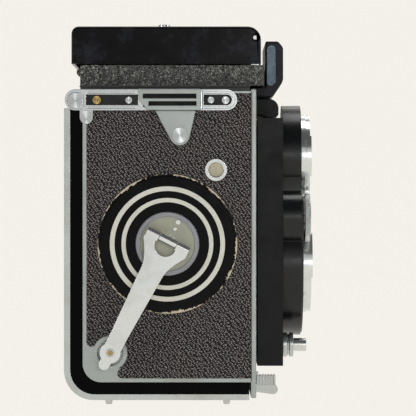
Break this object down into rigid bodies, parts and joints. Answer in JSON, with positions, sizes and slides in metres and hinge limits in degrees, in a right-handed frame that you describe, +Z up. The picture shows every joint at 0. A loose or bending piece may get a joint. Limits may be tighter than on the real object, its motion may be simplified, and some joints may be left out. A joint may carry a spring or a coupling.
{
  "type": "twin lens reflex camera",
  "caption": "Crank-wound twin lens reflex camera for square roll film, with a folding hood, an L-shaped opening back and a sliding lens standard.",
  "frame": {"origin": "mouth of the tripod bush, at the centre of the bottom, in the plane of the feet", "axes": "+X towards the lenses, +Z up, crank on the -Y side"},
  "size_m": [0.0942, 0.0944, 0.1455],
  "materials": {
    "cast_body": "satin",
    "plated_trim": "satin",
    "leather": "matte",
    "black_paint": "satin",
    "gloss_black": "glossy",
    "wrinkle_paint": "matte",
    "steel": "satin",
    "brass": "satin",
    "hub_grey": "satin",
    "dial": "matte",
    "optic_glass": "glossy",
    "screen_glass": "matte",
    "mirror_silver": "glossy",
    "spool_metal": "satin"
  },
  "bodies": {
    "camera_body": {"body_casting": "cast_body", "side_plates": "plated_trim", "side_leathers": "leather", "front_plate": "plated_trim", "strap_rails": "plated_trim", "strap_bridges": "plated_trim", "rail_screws": "steel", "brass_screws": "brass", "crank_plate": "gloss_black", "crank_rings": "plated_trim", "counter_bezel": "plated_trim", "counter_glass": "optic_glass", "mirror_glass": "mirror_silver", "mirror_cradle": "black_paint", "focusing_screen": "screen_glass", "hood_base": "wrinkle_paint", "hood_trim": "black_paint", "nameplate_block": "gloss_black", "finder_cap": "black_paint", "hinge_pins": "steel"},
    "back_door": {"door_shell": "plated_trim", "door_frame": "black_paint", "door_leather": "leather", "feet": "steel", "tripod_bush": "steel"},
    "back_lock": {"back_lock_ring": "plated_trim"},
    "film_plate": {"pressure_plate": "black_paint"},
    "crank": {"crank_hub": "hub_grey", "crank_gear": "brass"},
    "crank_lever": {"crank_arm": "plated_trim", "crank_pins": "brass"},
    "crank_grip": {"crank_knob": "plated_trim"},
    "idler": {"idler_gear": "brass"},
    "take_up": {"take_up_gear": "brass", "take_up_spool": "spool_metal"},
    "supply": {"supply_spool": "spool_metal"},
    "counter": {"counter_dial": "dial"},
    "roller": {"film_roller": "steel"},
    "focus": {"focus_lever": "plated_trim"},
    "lens_board": {"lens_standard": "black_paint", "lens_cover": "black_paint", "viewing_ring": "plated_trim", "taking_ring": "plated_trim", "viewing_lens": "optic_glass", "taking_lens": "optic_glass", "shutter_housing": "black_paint", "release_collar": "plated_trim", "sync_socket": "steel"},
    "aperture": {"aperture_wheel": "plated_trim"},
    "speed": {"speed_wheel": "plated_trim"},
    "release": {"release_button": "steel"},
    "lid": {"hood_lid": "gloss_black", "lid_catch": "steel"},
    "left_leaf": {"side_flap_left": "gloss_black"},
    "right_leaf": {"side_flap_right": "gloss_black"},
    "rear_leaf": {"rear_flap": "gloss_black"},
    "magnifier": {"magnifier_frame": "black_paint", "magnifier_lens": "optic_glass"},
    "take_up_key": {"take_up_knob": "plated_trim"},
    "supply_key": {"supply_knob": "plated_trim"}
  },
  "joints": [
    {"name": "back_swing", "type": "hinge", "parent": "camera_body", "child": "back_door", "pos_m": [-0.03165, 0, 0.1143], "axis": [0, 1, 0], "range_deg": [0, 95]},
    {"name": "lock_turn", "type": "hinge", "parent": "back_door", "child": "back_lock", "pos_m": [0, 0, 0], "axis": [0, 0, 1], "range_deg": [0, 90]},
    {"name": "plate_press", "type": "slide", "parent": "back_door", "child": "film_plate", "axis": [-1, 0, 0], "range_m": [0, 0.001], "stiffness_N_per_m": 600},
    {"name": "crank_turn", "type": "hinge", "parent": "camera_body", "child": "crank", "pos_m": [0.0028, 0, 0.06075], "axis": [0, 1, 0], "range_deg": [0, 270]},
    {"name": "crank_fold", "type": "hinge", "parent": "crank", "child": "crank_lever", "pos_m": [0.00315, -0.0474, 0.062], "axis": [-0.8886, 0, 0.4587], "range_deg": [0, 180]},
    {"name": "knob_spin", "type": "hinge", "parent": "crank_lever", "child": "crank_grip", "pos_m": [-0.01836, 0, 0.02032], "axis": [0, 1, 0], "continuous": true},
    {"name": "idler_turn", "type": "hinge", "parent": "camera_body", "child": "idler", "pos_m": [0.00179, 0, 0.08873], "axis": [0, 1, 0], "range_deg": [-361, 1]},
    {"name": "take_up_turn", "type": "hinge", "parent": "camera_body", "child": "take_up", "pos_m": [-0.0175, 0, 0.094], "axis": [0, 1, 0], "range_deg": [-1, 541]},
    {"name": "counter_turn", "type": "hinge", "parent": "camera_body", "child": "counter", "pos_m": [0.021, 0, 0.094], "axis": [0, 1, 0], "range_deg": [-1, 31]},
    {"name": "supply_spin", "type": "hinge", "parent": "camera_body", "child": "supply", "pos_m": [0.0175, 0, 0.0225], "axis": [0, 1, 0], "continuous": true},
    {"name": "roller_spin", "type": "hinge", "parent": "camera_body", "child": "roller", "pos_m": [-0.0245, 0, 0.0165], "axis": [0, 1, 0], "continuous": true},
    {"name": "focus_swing", "type": "hinge", "parent": "camera_body", "child": "focus", "pos_m": [0, 0, 0.0523], "axis": [1, 0, 0], "range_deg": [-6.1, 16.1]},
    {"name": "lens_travel", "type": "slide", "parent": "camera_body", "child": "lens_board", "axis": [1, 0, 0], "range_m": [-0.0012, 0.0032]},
    {"name": "aperture_turn", "type": "hinge", "parent": "lens_board", "child": "aperture", "pos_m": [0, 0.0214, 0.0706], "axis": [1, 0, 0], "range_deg": [0, 150]},
    {"name": "speed_turn", "type": "hinge", "parent": "lens_board", "child": "speed", "pos_m": [0, -0.0214, 0.0706], "axis": [1, 0, 0], "range_deg": [0, 170]},
    {"name": "release_press", "type": "slide", "parent": "lens_board", "child": "release", "axis": [-1, 0, 0], "range_m": [0, 0.003], "stiffness_N_per_m": 150, "springref_m": -0.001},
    {"name": "lid_open", "type": "hinge", "parent": "camera_body", "child": "lid", "pos_m": [0.0358, 0, 0.1386], "axis": [0, 1, 0], "range_deg": [0, 90]},
    {"name": "left_leaf_open", "type": "hinge", "parent": "camera_body", "child": "left_leaf", "pos_m": [0, 0.0282, 0.1302], "axis": [-1, 0, 0], "range_deg": [0, 90]},
    {"name": "right_leaf_open", "type": "hinge", "parent": "camera_body", "child": "right_leaf", "pos_m": [0, -0.0282, 0.1302], "axis": [1, 0, 0], "range_deg": [0, 90]},
    {"name": "rear_leaf_open", "type": "hinge", "parent": "camera_body", "child": "rear_leaf", "pos_m": [-0.0283, 0, 0.1302], "axis": [0, -1, 0], "range_deg": [0, 90]},
    {"name": "magnifier_fold", "type": "hinge", "parent": "lid", "child": "magnifier", "pos_m": [0.01, 0, 0.137], "axis": [0, 1, 0], "range_deg": [-90, 0]},
    {"name": "take_up_key_pull", "type": "slide", "parent": "camera_body", "child": "take_up_key", "axis": [0, 1, 0], "range_m": [0, 0.006]},
    {"name": "supply_key_pull", "type": "slide", "parent": "camera_body", "child": "supply_key", "axis": [0, 1, 0], "range_m": [0, 0.006]}
  ],
  "couplings": [
    {"joint": "idler_turn", "follows": "crank_turn", "ratio": -1.3333},
    {"joint": "take_up_turn", "follows": "crank_turn", "ratio": 2},
    {"joint": "counter_turn", "follows": "crank_turn", "ratio": 0.111},
    {"joint": "focus_swing", "follows": "lens_travel", "rad_per_m": 87.266},
    {"joint": "left_leaf_open", "follows": "lid_open", "ratio": 1},
    {"joint": "right_leaf_open", "follows": "lid_open", "ratio": 1},
    {"joint": "rear_leaf_open", "follows": "lid_open", "ratio": 1},
    {"joint": "magnifier_fold", "follows": "lid_open", "ratio": -1}
  ]
}
